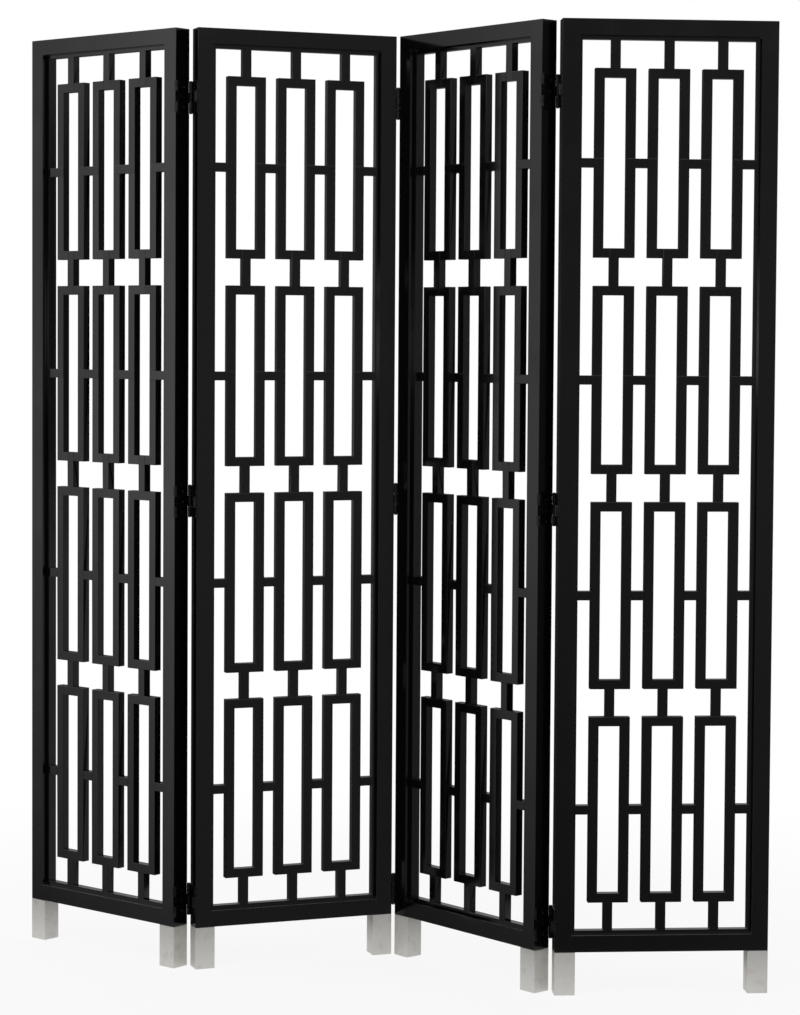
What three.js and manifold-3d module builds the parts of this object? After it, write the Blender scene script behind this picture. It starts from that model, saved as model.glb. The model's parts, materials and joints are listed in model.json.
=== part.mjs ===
// A free-standing folding screen: four open lattice panels in a zig-zag, each stile on a metal foot.
// Millimetres, +Z up. A panel is made standing on z = 0 with its left edge at x = 0 and its front
// face at y = 0. Each next panel hangs on the hinge line of the one before it, turned by the fold.
import * as THREE from "three";
import { mergeVertices } from "three/addons/utils/BufferGeometryUtils.js";
import Module from "manifold-3d";

const wasm = await Module();
wasm.setup();

// ---- Driving dimensions ----------------------------------------------------------------------

// Panel frame
const SCREEN_HEIGHT = 1800;
const PANEL_WIDTH = 400;
const FRAME_DEPTH = 37;
const STILE_WIDTH = 31.5;
const TOP_RAIL_HEIGHT = 30;
const BOTTOM_RAIL_HEIGHT = 32;
const EDGE_CHAMFER = 1; // the eased long edges of stiles, rails and feet
const FIT = 0.3; // clearance between pieces that seat on each other

// Lattice of upright rectangular rings in a narrow border, tied to it and to each other by short
// bars. It stands in a groove round the opening of the frame, at mid depth.
const RING_COLUMNS = 3;
const RING_ROWS = 4;
const COLUMN_GAP = 24; // between rings, and from the outer rings to the border
const ROW_GAP = 51.5; // between rings, and from the end rings to the border
const RING_BAR_WIDTH = 17.5;
const TIE_WIDTH = 17;
const LATTICE_DEPTH = 16;
const BORDER_WIDTH = 7; // the part of the border that shows beside the frame
const BORDER_LET_IN = 3; // how deep the border stands in the groove

// Rail tenons
const TENON_LENGTH = 14;
const TENON_THICKNESS = 10;
const TENON_SHOULDER = 6; // at the top and bottom of each tenon

// Feet: metal sockets over tenons on the stiles, as wide as a stile and the border beside it
const FOOT_WIDTH = STILE_WIDTH + BORDER_WIDTH;
const FOOT_HEIGHT = 80;
const FOOT_WALL = 1.5;
const FOOT_FLOOR = 3;

// Hinges: two equal leaves with knuckles on both long edges, one pin
const PANEL_GAP = 6; // between the stiles of two panels in line
const PIN_LINE_OFFSET = 1; // how far the pin line stands outside the face of the panels
const HINGE_INSET = 130; // from the floor and from the top to the middle of the end hinges
const LEAF_HEIGHT = 60;
const LEAF_THICKNESS = 2;
const LEAF_LET_IN = 1.2; // how deep the leaf lies in the stile's edge
const LEAF_MARGIN = 3; // from the faces of the stile to the flat of the leaf
const KNUCKLE_RADIUS = 3.8;
const KNUCKLE_SPACE = 0.4; // up and down, between the knuckles of two leaves
const PIN_RADIUS = 1.9;
const PIN_HEAD_RADIUS = 2.8;
const PIN_HEAD_HEIGHT = 1.2;
const SCREW_SPACING = 20;
const SCREW_HOLE_RADIUS = 2.2;

// The stand: the first panel's turn about Z, then the fold of each hinge line from flat
const FIRST_PANEL_TURN = -23;
const FOLDS = [59.6, -69.4, 53.4];

// ---- Sizes that follow -----------------------------------------------------------------------

// The opening of the frame, and the field inside the border of the lattice
const OPENING_BOTTOM = FOOT_HEIGHT + BOTTOM_RAIL_HEIGHT;
const OPENING_TOP = SCREEN_HEIGHT - TOP_RAIL_HEIGHT;
const FIELD_LEFT = STILE_WIDTH + BORDER_WIDTH;
const FIELD_RIGHT = PANEL_WIDTH - FIELD_LEFT;
const FIELD_BOTTOM = OPENING_BOTTOM + BORDER_WIDTH;
const FIELD_TOP = OPENING_TOP - BORDER_WIDTH;
const RING_WIDTH =
  (FIELD_RIGHT - FIELD_LEFT - (RING_COLUMNS + 1) * COLUMN_GAP) / RING_COLUMNS;
const RING_HEIGHT = (FIELD_TOP - FIELD_BOTTOM - (RING_ROWS + 1) * ROW_GAP) / RING_ROWS;
const FOLD_RADIUS = PANEL_GAP / 2; // from a stile's edge to the pin line
const BORE_RADIUS = PIN_RADIUS + FIT;
const RING_LEFTS = Array.from(
  { length: RING_COLUMNS },
  (_, n) => FIELD_LEFT + COLUMN_GAP + n * (RING_WIDTH + COLUMN_GAP),
);
const RING_BOTTOMS = Array.from(
  { length: RING_ROWS },
  (_, n) => FIELD_BOTTOM + ROW_GAP + n * (RING_HEIGHT + ROW_GAP),
);
const HINGES = {
  bottom: HINGE_INSET,
  middle: SCREEN_HEIGHT / 2,
  top: SCREEN_HEIGHT - HINGE_INSET,
};
const SCREW_HEIGHTS = [-SCREW_SPACING, 0, SCREW_SPACING];
const KNUCKLE_SIDES = 12;
const BORE_SIDES = 8;
const SCREW_HOLE_SIDES = 6;
const PAST = 1; // how far a cutter runs past the face that it opens

// ---- Shapes ----------------------------------------------------------------------------------

// A box from its lowest to its highest corner.
function box([x0, y0, z0], [x1, y1, z1]) {
  return new THREE.BoxGeometry(x1 - x0, y1 - y0, z1 - z0).translate(
    (x0 + x1) / 2,
    (y0 + y1) / 2,
    (z0 + z1) / 2,
  );
}

// A closed outline through [x, y] points.
function outline(points) {
  return new THREE.Shape(points.map(([x, y]) => new THREE.Vector2(x, y)));
}

// A rectangle with its four corners cut off.
function easedRectangle([x0, y0], [x1, y1], cut) {
  return outline([
    [x0 + cut, y0],
    [x1 - cut, y0],
    [x1, y0 + cut],
    [x1, y1 - cut],
    [x1 - cut, y1],
    [x0 + cut, y1],
    [x0, y1 - cut],
    [x0, y0 + cut],
  ]);
}

// A shape drawn in plan, raised from one height to another.
function upright(shape, bottom, top) {
  const depth = top - bottom;
  return new THREE.ExtrudeGeometry(shape, { depth, bevelEnabled: false }).translate(0, 0, bottom);
}

// A shape drawn as depth and height, run from left to right.
function level(shape, left, right) {
  const depth = right - left;
  const turn = new THREE.Matrix4().makeBasis(
    new THREE.Vector3(0, 1, 0),
    new THREE.Vector3(0, 0, 1),
    new THREE.Vector3(1, 0, 0),
  );
  const bar = new THREE.ExtrudeGeometry(shape, { depth, bevelEnabled: false });
  return bar.applyMatrix4(turn).translate(left, 0, 0);
}

// A round bar along Z.
function round(radius, bottom, top, sides) {
  return new THREE.CylinderGeometry(radius, radius, top - bottom, sides)
    .rotateX(Math.PI / 2)
    .translate(0, 0, (bottom + top) / 2);
}

// A round bar along X, with its middle line at the given depth and height.
function roundAcross(radius, left, right, y, z, sides) {
  return new THREE.CylinderGeometry(radius, radius, right - left, sides)
    .rotateZ(Math.PI / 2)
    .translate((left + right) / 2, y, z);
}

// The corner radius of a polygon whose flats stand at the given radius.
function aroundFlats(radius, sides) {
  return radius / Math.cos(Math.PI / sides);
}

// ---- Joining and cutting ---------------------------------------------------------------------

function solid(geometry) {
  const bare = geometry.clone();
  bare.deleteAttribute("normal");
  bare.deleteAttribute("uv");
  const merged = mergeVertices(bare, 1e-4);
  return new wasm.Manifold(
    new wasm.Mesh({
      numProp: 3,
      vertProperties: merged.getAttribute("position").array,
      triVerts: new Uint32Array(merged.index.array),
    }),
  );
}

// Joins the first list of geometries and cuts the second list out of them.
function carve(joined, cutters = []) {
  let body = joined.map(solid).reduce((a, b) => a.add(b));
  for (const cutter of cutters) body = body.subtract(solid(cutter));
  const { vertProperties, triVerts } = body.getMesh();
  const geometry = new THREE.BufferGeometry();
  geometry.setAttribute("position", new THREE.BufferAttribute(vertProperties, 3));
  geometry.setIndex(new THREE.BufferAttribute(triVerts, 1));
  const flat = geometry.toNonIndexed();
  flat.computeVertexNormals();
  return flat;
}

// ---- Panel pieces ----------------------------------------------------------------------------

const TENON_DEPTHS = [(FRAME_DEPTH - TENON_THICKNESS) / 2, (FRAME_DEPTH + TENON_THICKNESS) / 2];
const LATTICE_DEPTHS = [(FRAME_DEPTH - LATTICE_DEPTH) / 2, (FRAME_DEPTH + LATTICE_DEPTH) / 2];
const GROOVE_DEPTHS = [LATTICE_DEPTHS[0] - FIT, LATTICE_DEPTHS[1] + FIT];
const GROOVE_LET_IN = BORDER_LET_IN + FIT;
const RAIL_SPANS = [
  [FOOT_HEIGHT + FIT, OPENING_BOTTOM],
  [OPENING_TOP, SCREEN_HEIGHT],
];
// The heights of the level ties and the places of the upright ones, as [low, high].
const LEVEL_TIES = RING_BOTTOMS.map((z) => z + RING_HEIGHT / 2).map(tieSpan);
const UPRIGHT_TIES = RING_LEFTS.map((x) => x + RING_WIDTH / 2).map(tieSpan);

function tieSpan(middle) {
  return [middle - TIE_WIDTH / 2, middle + TIE_WIDTH / 2];
}

// The outer part of a stile's edge, in which a hinge leaf lies.
function leafHousing(z) {
  const half = LEAF_HEIGHT / 2 + FIT;
  const floor = LEAF_LET_IN + FIT;
  return box([-PAST, -PAST, z - half], [floor, FRAME_DEPTH + PAST, z + half]);
}

// A left stile, its outer edge at x = 0. Turned half round about Z it is a right stile.
function stileGeometry(hinged) {
  const section = easedRectangle([0, 0], [STILE_WIDTH, FRAME_DEPTH], EDGE_CHAMFER);
  const inset = FOOT_WALL + FIT;
  const footTenon = box(
    [inset, inset, FOOT_FLOOR + FIT],
    [STILE_WIDTH - inset, FRAME_DEPTH - inset, FOOT_HEIGHT + PAST],
  );
  const mortises = RAIL_SPANS.map(([bottom, top]) =>
    box(
      [STILE_WIDTH - TENON_LENGTH - FIT, TENON_DEPTHS[0] - FIT, bottom + TENON_SHOULDER - FIT],
      [STILE_WIDTH + PAST, TENON_DEPTHS[1] + FIT, top - TENON_SHOULDER + FIT],
    ),
  );
  const groove = box(
    [STILE_WIDTH - GROOVE_LET_IN, GROOVE_DEPTHS[0], OPENING_BOTTOM - GROOVE_LET_IN],
    [STILE_WIDTH + PAST, GROOVE_DEPTHS[1], OPENING_TOP + GROOVE_LET_IN],
  );
  const hinges = hinged ? Object.values(HINGES).map(leafHousing) : [];
  return carve(
    [upright(section, FOOT_HEIGHT + FIT, SCREEN_HEIGHT), footTenon],
    [...mortises, groove, ...hinges],
  );
}

// A rail between the stiles, with the groove along the edge that faces the lattice.
function railGeometry([bottom, top], latticeAbove) {
  const section = easedRectangle([0, bottom], [FRAME_DEPTH, top], EDGE_CHAMFER);
  const shoulder = STILE_WIDTH + FIT;
  const tenonEnd = STILE_WIDTH - TENON_LENGTH;
  const tenons = box(
    [tenonEnd, TENON_DEPTHS[0], bottom + TENON_SHOULDER],
    [PANEL_WIDTH - tenonEnd, TENON_DEPTHS[1], top - TENON_SHOULDER],
  );
  const low = latticeAbove ? top - GROOVE_LET_IN : bottom - PAST;
  const high = latticeAbove ? top + PAST : bottom + GROOVE_LET_IN;
  const groove = box(
    [STILE_WIDTH, GROOVE_DEPTHS[0], low],
    [PANEL_WIDTH - STILE_WIDTH, GROOVE_DEPTHS[1], high],
  );
  return carve([level(section, shoulder, PANEL_WIDTH - shoulder), tenons], [groove]);
}

// The glued lattice: a border, rings, and ties that run from border to border but leave each
// ring open.
function latticeGeometry() {
  const [front, back] = LATTICE_DEPTHS;
  const left = STILE_WIDTH - BORDER_LET_IN;
  const right = PANEL_WIDTH - left;
  const bottom = OPENING_BOTTOM - BORDER_LET_IN;
  const top = OPENING_TOP + BORDER_LET_IN;
  const border = [
    box([left, front, bottom], [FIELD_LEFT, back, top]),
    box([FIELD_RIGHT, front, bottom], [right, back, top]),
    box([left, front, bottom], [right, back, FIELD_BOTTOM]),
    box([left, front, FIELD_TOP], [right, back, top]),
  ];
  const levelBars = LEVEL_TIES.map(([low, high]) => box([left, front, low], [right, back, high]));
  const uprightBars = UPRIGHT_TIES.map(([low, high]) =>
    box([low, front, bottom], [high, back, top]),
  );
  const corners = RING_LEFTS.flatMap((x) => RING_BOTTOMS.map((z) => [x, z]));
  const rings = corners.map(([x, z]) =>
    box([x, front, z], [x + RING_WIDTH, back, z + RING_HEIGHT]),
  );
  const openings = corners.map(([x, z]) =>
    box(
      [x + RING_BAR_WIDTH, front - PAST, z + RING_BAR_WIDTH],
      [x + RING_WIDTH - RING_BAR_WIDTH, back + PAST, z + RING_HEIGHT - RING_BAR_WIDTH],
    ),
  );
  return carve([...border, ...levelBars, ...uprightBars, ...rings], openings);
}

// A left foot: a metal block with a socket for the stile above it, solid under the rail.
function footGeometry() {
  const section = easedRectangle([0, 0], [FOOT_WIDTH, FRAME_DEPTH], EDGE_CHAMFER);
  const socket = box(
    [FOOT_WALL, FOOT_WALL, FOOT_FLOOR],
    [STILE_WIDTH - FOOT_WALL, FRAME_DEPTH - FOOT_WALL, FOOT_HEIGHT + PAST],
  );
  return carve([upright(section, 0, FOOT_HEIGHT)], [socket]);
}

// ---- Hinge pieces ----------------------------------------------------------------------------

// The knuckles lie in thirds of the leaf's height: the end thirds on one edge, the middle third
// on the other, so that the same leaf turned half round fills the places that this one leaves.
const THIRD = LEAF_HEIGHT / 3;
const END_THIRDS = [
  [-LEAF_HEIGHT / 2, -THIRD / 2 - KNUCKLE_SPACE / 2],
  [THIRD / 2 + KNUCKLE_SPACE / 2, LEAF_HEIGHT / 2],
];
const MIDDLE_THIRD = [[-THIRD / 2 + KNUCKLE_SPACE / 2, THIRD / 2 - KNUCKLE_SPACE / 2]];

// The knuckles of one edge, and the webs that lead into them from the flat of the leaf.
function knuckles(spans, edge, outward) {
  const pinLine = edge + outward * PIN_LINE_OFFSET;
  const flatEnd = edge - outward * (LEAF_MARGIN + PAST);
  const web = outline([
    [-LEAF_LET_IN, flatEnd],
    [-LEAF_LET_IN, pinLine],
    [FOLD_RADIUS, pinLine],
    [LEAF_THICKNESS - LEAF_LET_IN, flatEnd],
  ]);
  return spans.flatMap(([bottom, top]) => [
    upright(web, bottom, top),
    round(KNUCKLE_RADIUS, bottom, top, KNUCKLE_SIDES).translate(FOLD_RADIUS, pinLine, 0),
  ]);
}

// A leaf on a right stile: x = 0 is the stile's edge, y = 0 its front face, z = 0 mid leaf. The
// edge that carries the pin is bored, and the knuckles of the other edge keep their rivets.
function leafGeometry(pinAtFront) {
  const flat = box(
    [-LEAF_LET_IN, LEAF_MARGIN, -LEAF_HEIGHT / 2],
    [LEAF_THICKNESS - LEAF_LET_IN, FRAME_DEPTH - LEAF_MARGIN, LEAF_HEIGHT / 2],
  );
  const screwHoles = SCREW_HEIGHTS.map((z) =>
    roundAcross(
      SCREW_HOLE_RADIUS,
      -LEAF_LET_IN - PAST,
      LEAF_THICKNESS + PAST,
      FRAME_DEPTH / 2,
      z,
      SCREW_HOLE_SIDES,
    ),
  );
  const pinLine = pinAtFront ? -PIN_LINE_OFFSET : FRAME_DEPTH + PIN_LINE_OFFSET;
  const reach = LEAF_HEIGHT / 2 + PAST;
  const boreCorner = aroundFlats(BORE_RADIUS, BORE_SIDES);
  const bore = round(boreCorner, -reach, reach, BORE_SIDES).translate(FOLD_RADIUS, pinLine, 0);
  return carve(
    [flat, ...knuckles(END_THIRDS, 0, -1), ...knuckles(MIDDLE_THIRD, FRAME_DEPTH, 1)],
    [bore, ...screwHoles],
  );
}

// A pin with a flat head at each end, upright about z = 0.
function pinGeometry() {
  const seat = LEAF_HEIGHT / 2 + FIT;
  const end = seat + PIN_HEAD_HEIGHT;
  const half = [
    [PIN_RADIUS, seat],
    [PIN_HEAD_RADIUS, seat],
    [PIN_HEAD_RADIUS, end],
    [0, end],
  ];
  const lower = half.map(([r, z]) => [r, -z]).reverse();
  const profile = [...lower, ...half].map(([r, z]) => new THREE.Vector2(r, z));
  return new THREE.LatheGeometry(profile, BORE_SIDES).rotateX(Math.PI / 2);
}

// ---- Materials -------------------------------------------------------------------------------

function lacquer() {
  return new THREE.MeshStandardMaterial({ color: 0x101012, roughness: 0.22, metalness: 0 });
}

function brushedSteel() {
  return new THREE.MeshStandardMaterial({ color: 0xb8b2a8, roughness: 0.38, metalness: 1 });
}

function blackenedSteel() {
  return new THREE.MeshStandardMaterial({ color: 0x26262a, roughness: 0.35, metalness: 0.9 });
}

// ---- Assembly --------------------------------------------------------------------------------

const geometry = {
  hingedStile: stileGeometry(true),
  endStile: stileGeometry(false),
  bottomRail: railGeometry(RAIL_SPANS[0], true),
  topRail: railGeometry(RAIL_SPANS[1], false),
  lattice: latticeGeometry(),
  foot: footGeometry(),
  leafPinFront: leafGeometry(true),
  leafPinBack: leafGeometry(false),
  pin: pinGeometry(),
};

function piece(name, shape, material, [x, y, z] = [0, 0, 0], halfTurn = false) {
  const mesh = new THREE.Mesh(shape, material);
  mesh.name = name;
  mesh.position.set(x, y, z);
  mesh.rotation.z = halfTurn ? Math.PI : 0;
  return mesh;
}

function makePanel(number) {
  const panel = new THREE.Group();
  const name = `panel_${number}`;
  const last = FOLDS.length + 1;
  const rightEdge = [PANEL_WIDTH, FRAME_DEPTH, 0];
  const leftStile = number > 1 ? geometry.hingedStile : geometry.endStile;
  const rightStile = number < last ? geometry.hingedStile : geometry.endStile;
  panel.add(
    piece(`${name}_left_stile`, leftStile, lacquer()),
    piece(`${name}_right_stile`, rightStile, lacquer(), rightEdge, true),
    piece(`${name}_top_rail`, geometry.topRail, lacquer()),
    piece(`${name}_bottom_rail`, geometry.bottomRail, lacquer()),
    piece(`${name}_lattice`, geometry.lattice, lacquer()),
    piece(`${name}_left_foot`, geometry.foot, brushedSteel()),
    piece(`${name}_right_foot`, geometry.foot, brushedSteel(), rightEdge, true),
  );
  return panel;
}

// Three hinges between two panels. The pins stand at the back where the fold points forward.
function addHinges(left, right, number, pinAtFront, pinLine) {
  const leftLeaf = pinAtFront ? geometry.leafPinFront : geometry.leafPinBack;
  const rightLeaf = pinAtFront ? geometry.leafPinBack : geometry.leafPinFront;
  for (const [place, z] of Object.entries(HINGES)) {
    const name = `hinge_${number}_${number + 1}_${place}`;
    left.add(
      piece(`${name}_left_leaf`, leftLeaf, blackenedSteel(), [PANEL_WIDTH, 0, z]),
      piece(`${name}_pin`, geometry.pin, blackenedSteel(), [PANEL_WIDTH + FOLD_RADIUS, pinLine, z]),
    );
    right.add(piece(`${name}_right_leaf`, rightLeaf, blackenedSteel(), [0, FRAME_DEPTH, z], true));
  }
}

function makeScreen() {
  const screen = new THREE.Group();
  let panel = makePanel(1);
  panel.rotation.z = THREE.MathUtils.degToRad(FIRST_PANEL_TURN);
  screen.add(panel);
  FOLDS.forEach((fold, index) => {
    const pinAtFront = fold < 0;
    const pinLine = pinAtFront ? -PIN_LINE_OFFSET : FRAME_DEPTH + PIN_LINE_OFFSET;
    const hingeLine = new THREE.Group();
    hingeLine.position.set(PANEL_WIDTH + FOLD_RADIUS, pinLine, 0);
    hingeLine.rotation.z = THREE.MathUtils.degToRad(fold);
    const next = makePanel(index + 2);
    next.position.set(FOLD_RADIUS, -pinLine, 0);
    addHinges(panel, next, index + 1, pinAtFront, pinLine);
    hingeLine.add(next);
    panel.add(hingeLine);
    panel = next;
  });
  return screen;
}

// The screen stands with the middle of its footprint at the origin.
function centred(object) {
  object.updateMatrixWorld(true);
  const middle = new THREE.Box3().setFromObject(object, true).getCenter(new THREE.Vector3());
  object.position.set(-middle.x, -middle.y, 0);
  return object;
}

const group = new THREE.Group();
group.add(centred(makeScreen()));

export default group;
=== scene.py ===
"""Dresses a four-panel folding screen: black lacquered lattice panels on brushed steel feet.

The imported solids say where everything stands. A panel has a frame of its own: x runs along the
panel from its left edge, y from its front face to its back, and z up from the floor. Pieces are
made in that frame and then carried to their panel's place. All sizes are in metres.
"""

from __future__ import annotations

import json
import logging
import math
from collections.abc import Callable, Sequence
from dataclasses import dataclass
from enum import Enum

import bmesh
import bpy
from mathutils import Matrix, Vector

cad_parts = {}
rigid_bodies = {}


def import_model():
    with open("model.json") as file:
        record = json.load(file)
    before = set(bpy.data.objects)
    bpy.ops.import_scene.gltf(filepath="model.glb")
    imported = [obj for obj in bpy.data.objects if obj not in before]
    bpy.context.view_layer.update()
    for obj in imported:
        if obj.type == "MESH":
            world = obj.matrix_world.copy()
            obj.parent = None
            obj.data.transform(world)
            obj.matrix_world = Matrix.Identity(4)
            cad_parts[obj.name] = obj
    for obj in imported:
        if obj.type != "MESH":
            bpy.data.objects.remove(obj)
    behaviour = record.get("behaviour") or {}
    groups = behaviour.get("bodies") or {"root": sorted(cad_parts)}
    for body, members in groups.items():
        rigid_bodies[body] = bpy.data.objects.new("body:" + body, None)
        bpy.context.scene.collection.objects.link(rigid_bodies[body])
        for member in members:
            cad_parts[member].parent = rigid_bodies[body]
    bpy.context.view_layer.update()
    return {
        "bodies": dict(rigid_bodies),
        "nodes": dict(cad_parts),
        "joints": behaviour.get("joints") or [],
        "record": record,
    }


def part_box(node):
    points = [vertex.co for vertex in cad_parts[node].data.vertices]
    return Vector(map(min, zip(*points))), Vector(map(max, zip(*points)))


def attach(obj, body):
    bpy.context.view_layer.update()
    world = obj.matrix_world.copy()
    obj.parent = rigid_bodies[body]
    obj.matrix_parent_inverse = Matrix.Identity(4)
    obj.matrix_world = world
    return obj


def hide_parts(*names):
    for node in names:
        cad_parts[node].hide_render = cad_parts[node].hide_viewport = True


log = logging.getLogger("folding_screen")

PANEL_NUMBERS = (1, 2, 3, 4)
PAST = 0.001  # how far a cutter runs past the face that it opens
WELD_DISTANCE = 0.00001  # corners nearer than this are one
FLAT_WIDTH = 0.001  # faces narrower than this belong to a rounded edge
NEAR_FLAT = 0.75  # the cosine up to which a rounded edge takes over a flat's normal
ROUNDED_FROM = math.radians(40)
SHARP_FROM = math.radians(38)

Corner = tuple[float, float, float]
Levels = tuple[tuple[float, float], ...]
Dresser = Callable[[bpy.types.Object], None]


class Side(Enum):
    """The two upright edges of a panel."""

    LEFT = "left"
    RIGHT = "right"


class RailPlace(Enum):
    """Where a rail lies in its panel."""

    BOTTOM = "bottom"
    TOP = "top"


class HingePlace(Enum):
    """Where a hinge sits on the line between two panels."""

    BOTTOM = "bottom"
    MIDDLE = "middle"
    TOP = "top"


class PinFace(Enum):
    """The face of the panels on which a hinge line turns."""

    FRONT = "front"
    BACK = "back"


class Operation(Enum):
    """What a second solid does to the first one."""

    JOIN = "UNION"
    CUT = "DIFFERENCE"
    KEEP = "INTERSECT"


class Slot(Enum):
    """The record's material slots."""

    LACQUER = "black_lacquer"
    BRUSHED_STEEL = "brushed_steel"
    BLACKENED_STEEL = "blackened_steel"


# ---- Node trees ------------------------------------------------------------------------------


class NodeBench:
    """Adds nodes to one tree and joins them."""

    def __init__(self, tree: bpy.types.NodeTree) -> None:
        """Takes the tree that the nodes go into."""
        self.tree = tree

    def feed(self, socket: bpy.types.NodeSocket, value: object) -> None:
        """Joins a socket to another one, or sets its value.

        Args:
            socket: the input that is fed.
            value: an output socket, an Amount or a plain value.
        """
        if isinstance(value, Amount):
            value = value.socket
        if isinstance(value, bpy.types.NodeSocket):
            self.tree.links.new(value, socket)
        else:
            socket.default_value = value

    def add(
        self,
        kind: str,
        inputs: dict[str | int, object] | None = None,
        **settings: object,
    ) -> bpy.types.Node:
        """Adds a node.

        Args:
            kind: the node's type name.
            inputs: what feeds each input, by name or number.
            **settings: the node's own options.

        Returns:
            The new node.
        """
        node = self.tree.nodes.new(kind)
        for name, value in settings.items():
            setattr(node, name, value)
        for name, value in (inputs or {}).items():
            self.feed(node.inputs[name], value)
        return node

    def vector(self, x: object, y: object, z: object) -> bpy.types.NodeSocket:
        """Gives a vector made of three numbers."""
        return self.add("ShaderNodeCombineXYZ", {"X": x, "Y": y, "Z": z}).outputs[0]

    def mix(self, fac: object, first: object, second: object) -> bpy.types.NodeSocket:
        """Mixes two numbers."""
        inputs = {0: fac, 2: first, 3: second}
        return self.add("ShaderNodeMix", inputs, data_type="FLOAT").outputs[0]

    def between(
        self, value: object, low: object, high: object, first: float = 0.0, last: float = 1.0
    ) -> Amount:
        """Gives one number below a low value, another above a high one, and a smooth change.

        Args:
            value: the value that is looked at.
            low: where the change begins.
            high: where it ends.
            first: the number below the low value.
            last: the number above the high value.

        Returns:
            The number between the first and the last.
        """
        ends = {"From Min": low, "From Max": high, "To Min": first, "To Max": last}
        node = self.add(
            "ShaderNodeMapRange", {"Value": value, **ends}, interpolation_type="SMOOTHSTEP"
        )
        return Amount(self, node.outputs[0])


@dataclass(frozen=True)
class Amount:
    """A number in a node tree, for plain arithmetic with other numbers."""

    bench: NodeBench
    socket: bpy.types.NodeSocket

    def paired(self, operation: str, other: object) -> Amount:
        """Gives the result of a Math node on this number and another one."""
        node = self.bench.add("ShaderNodeMath", {0: self, 1: other}, operation=operation)
        return Amount(self.bench, node.outputs[0])

    def __add__(self, other: object) -> Amount:
        """Gives the sum."""
        return self.paired("ADD", other)

    def __sub__(self, other: object) -> Amount:
        """Gives the difference."""
        return self.paired("SUBTRACT", other)

    def __mul__(self, other: object) -> Amount:
        """Gives the product."""
        return self.paired("MULTIPLY", other)

    def __truediv__(self, other: object) -> Amount:
        """Gives the quotient."""
        return self.paired("DIVIDE", other)


class GeometryTree(NodeBench):
    """A geometry node tree with named inputs, whose result is a plain mesh of one material."""

    def __init__(self, name: str) -> None:
        """Makes an empty tree with geometry in, geometry out and a material input.

        Args:
            name: the tree's name.
        """
        super().__init__(bpy.data.node_groups.new(name, "GeometryNodeTree"))
        face = self.tree.interface
        face.new_socket("Geometry", in_out="OUTPUT", socket_type="NodeSocketGeometry")
        face.new_socket("Geometry", in_out="INPUT", socket_type="NodeSocketGeometry")
        face.new_socket("Material", in_out="INPUT", socket_type="NodeSocketMaterial")
        self.start = self.add("NodeGroupInput")

    def size(self, name: str) -> Amount:
        """Adds a named length and gives it as a number."""
        self.tree.interface.new_socket(name, in_out="INPUT", socket_type="NodeSocketFloat")
        return Amount(self, self.start.outputs[name])

    def count(self, name: str) -> Amount:
        """Adds a named whole number and gives it as a number."""
        self.tree.interface.new_socket(name, in_out="INPUT", socket_type="NodeSocketInt")
        return Amount(self, self.start.outputs[name])

    def block(self, x: object, y: object, z: object) -> bpy.types.NodeSocket:
        """Gives a box of three sizes about the origin."""
        size = self.vector(x, y, z)
        return self.add("GeometryNodeMeshCube", {"Size": size}).outputs["Mesh"]

    def row(self, count: Amount, pitch: Amount, axis: Vector) -> bpy.types.NodeSocket:
        """Gives evenly spaced points along an axis, with their middle at the origin.

        Args:
            count: how many points.
            pitch: the distance from point to point.
            axis: the direction of the row.

        Returns:
            The points.
        """
        step = self.vector(*(pitch * part for part in axis))
        first = (count - 1.0) * pitch * -0.5
        start = self.vector(*(first * part for part in axis))
        line = self.add(
            "GeometryNodeMeshLine",
            {"Count": count, "Start Location": start, "Offset": step},
            mode="OFFSET",
        )
        return line.outputs["Mesh"]

    def repeat(
        self,
        points: bpy.types.NodeSocket,
        shape: bpy.types.NodeSocket,
        **extra: object,
    ) -> bpy.types.NodeSocket:
        """Puts a copy of a shape on each point, as real mesh.

        Args:
            points: the points.
            shape: the shape that is repeated.
            **extra: more inputs, such as a rotation for each copy.

        Returns:
            All of the copies.
        """
        placed = self.add(
            "GeometryNodeInstanceOnPoints",
            {"Points": points, "Instance": shape, **extra},
        )
        real = self.add("GeometryNodeRealizeInstances", {"Geometry": placed.outputs[0]})
        return real.outputs[0]

    def solid(
        self,
        operation: Operation,
        first: bpy.types.NodeSocket,
        *others: bpy.types.NodeSocket,
    ) -> bpy.types.NodeSocket:
        """Joins solids, or cuts the others out of the first one.

        Args:
            operation: JOIN or CUT.
            first: the solid that is added to or cut.
            *others: the solids that are added or cut away.

        Returns:
            The new solid.
        """
        node = self.add("GeometryNodeMeshBoolean", operation=operation.value, solver="EXACT")
        meshes = [first, *others]
        if operation is Operation.CUT:
            self.feed(node.inputs["Mesh 1"], meshes.pop(0))
        for mesh in reversed(meshes):
            self.tree.links.new(mesh, node.inputs["Mesh 2"])
        return node.outputs["Mesh"]

    def finish(self, geometry: bpy.types.NodeSocket) -> None:
        """Ends the tree: real geometry, in the material that the tree is given.

        Args:
            geometry: what the tree puts out.
        """
        real = self.add("GeometryNodeRealizeInstances", {"Geometry": geometry})
        dressed = self.add(
            "GeometryNodeSetMaterial",
            {"Geometry": real.outputs[0], "Material": self.start.outputs["Material"]},
        )
        end = self.add("NodeGroupOutput")
        self.tree.links.new(dressed.outputs[0], end.inputs[0])

    def dresser(self, values: dict[str, object]) -> Dresser:
        """Gives a function that puts this tree on an object as a modifier.

        Args:
            values: the tree's inputs, by name.

        Returns:
            A function that adds the modifier and sets its inputs.
        """

        def dress(bench: bpy.types.Object) -> None:
            """Adds the tree as a modifier."""
            modifier = bench.modifiers.new(self.tree.name, "NODES")
            modifier.node_group = self.tree
            for item in self.tree.interface.items_tree:
                if item.in_out == "INPUT" and item.name in values:
                    modifier[item.identifier] = values[item.name]

        return dress


# ---- Shapes ----------------------------------------------------------------------------------


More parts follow.
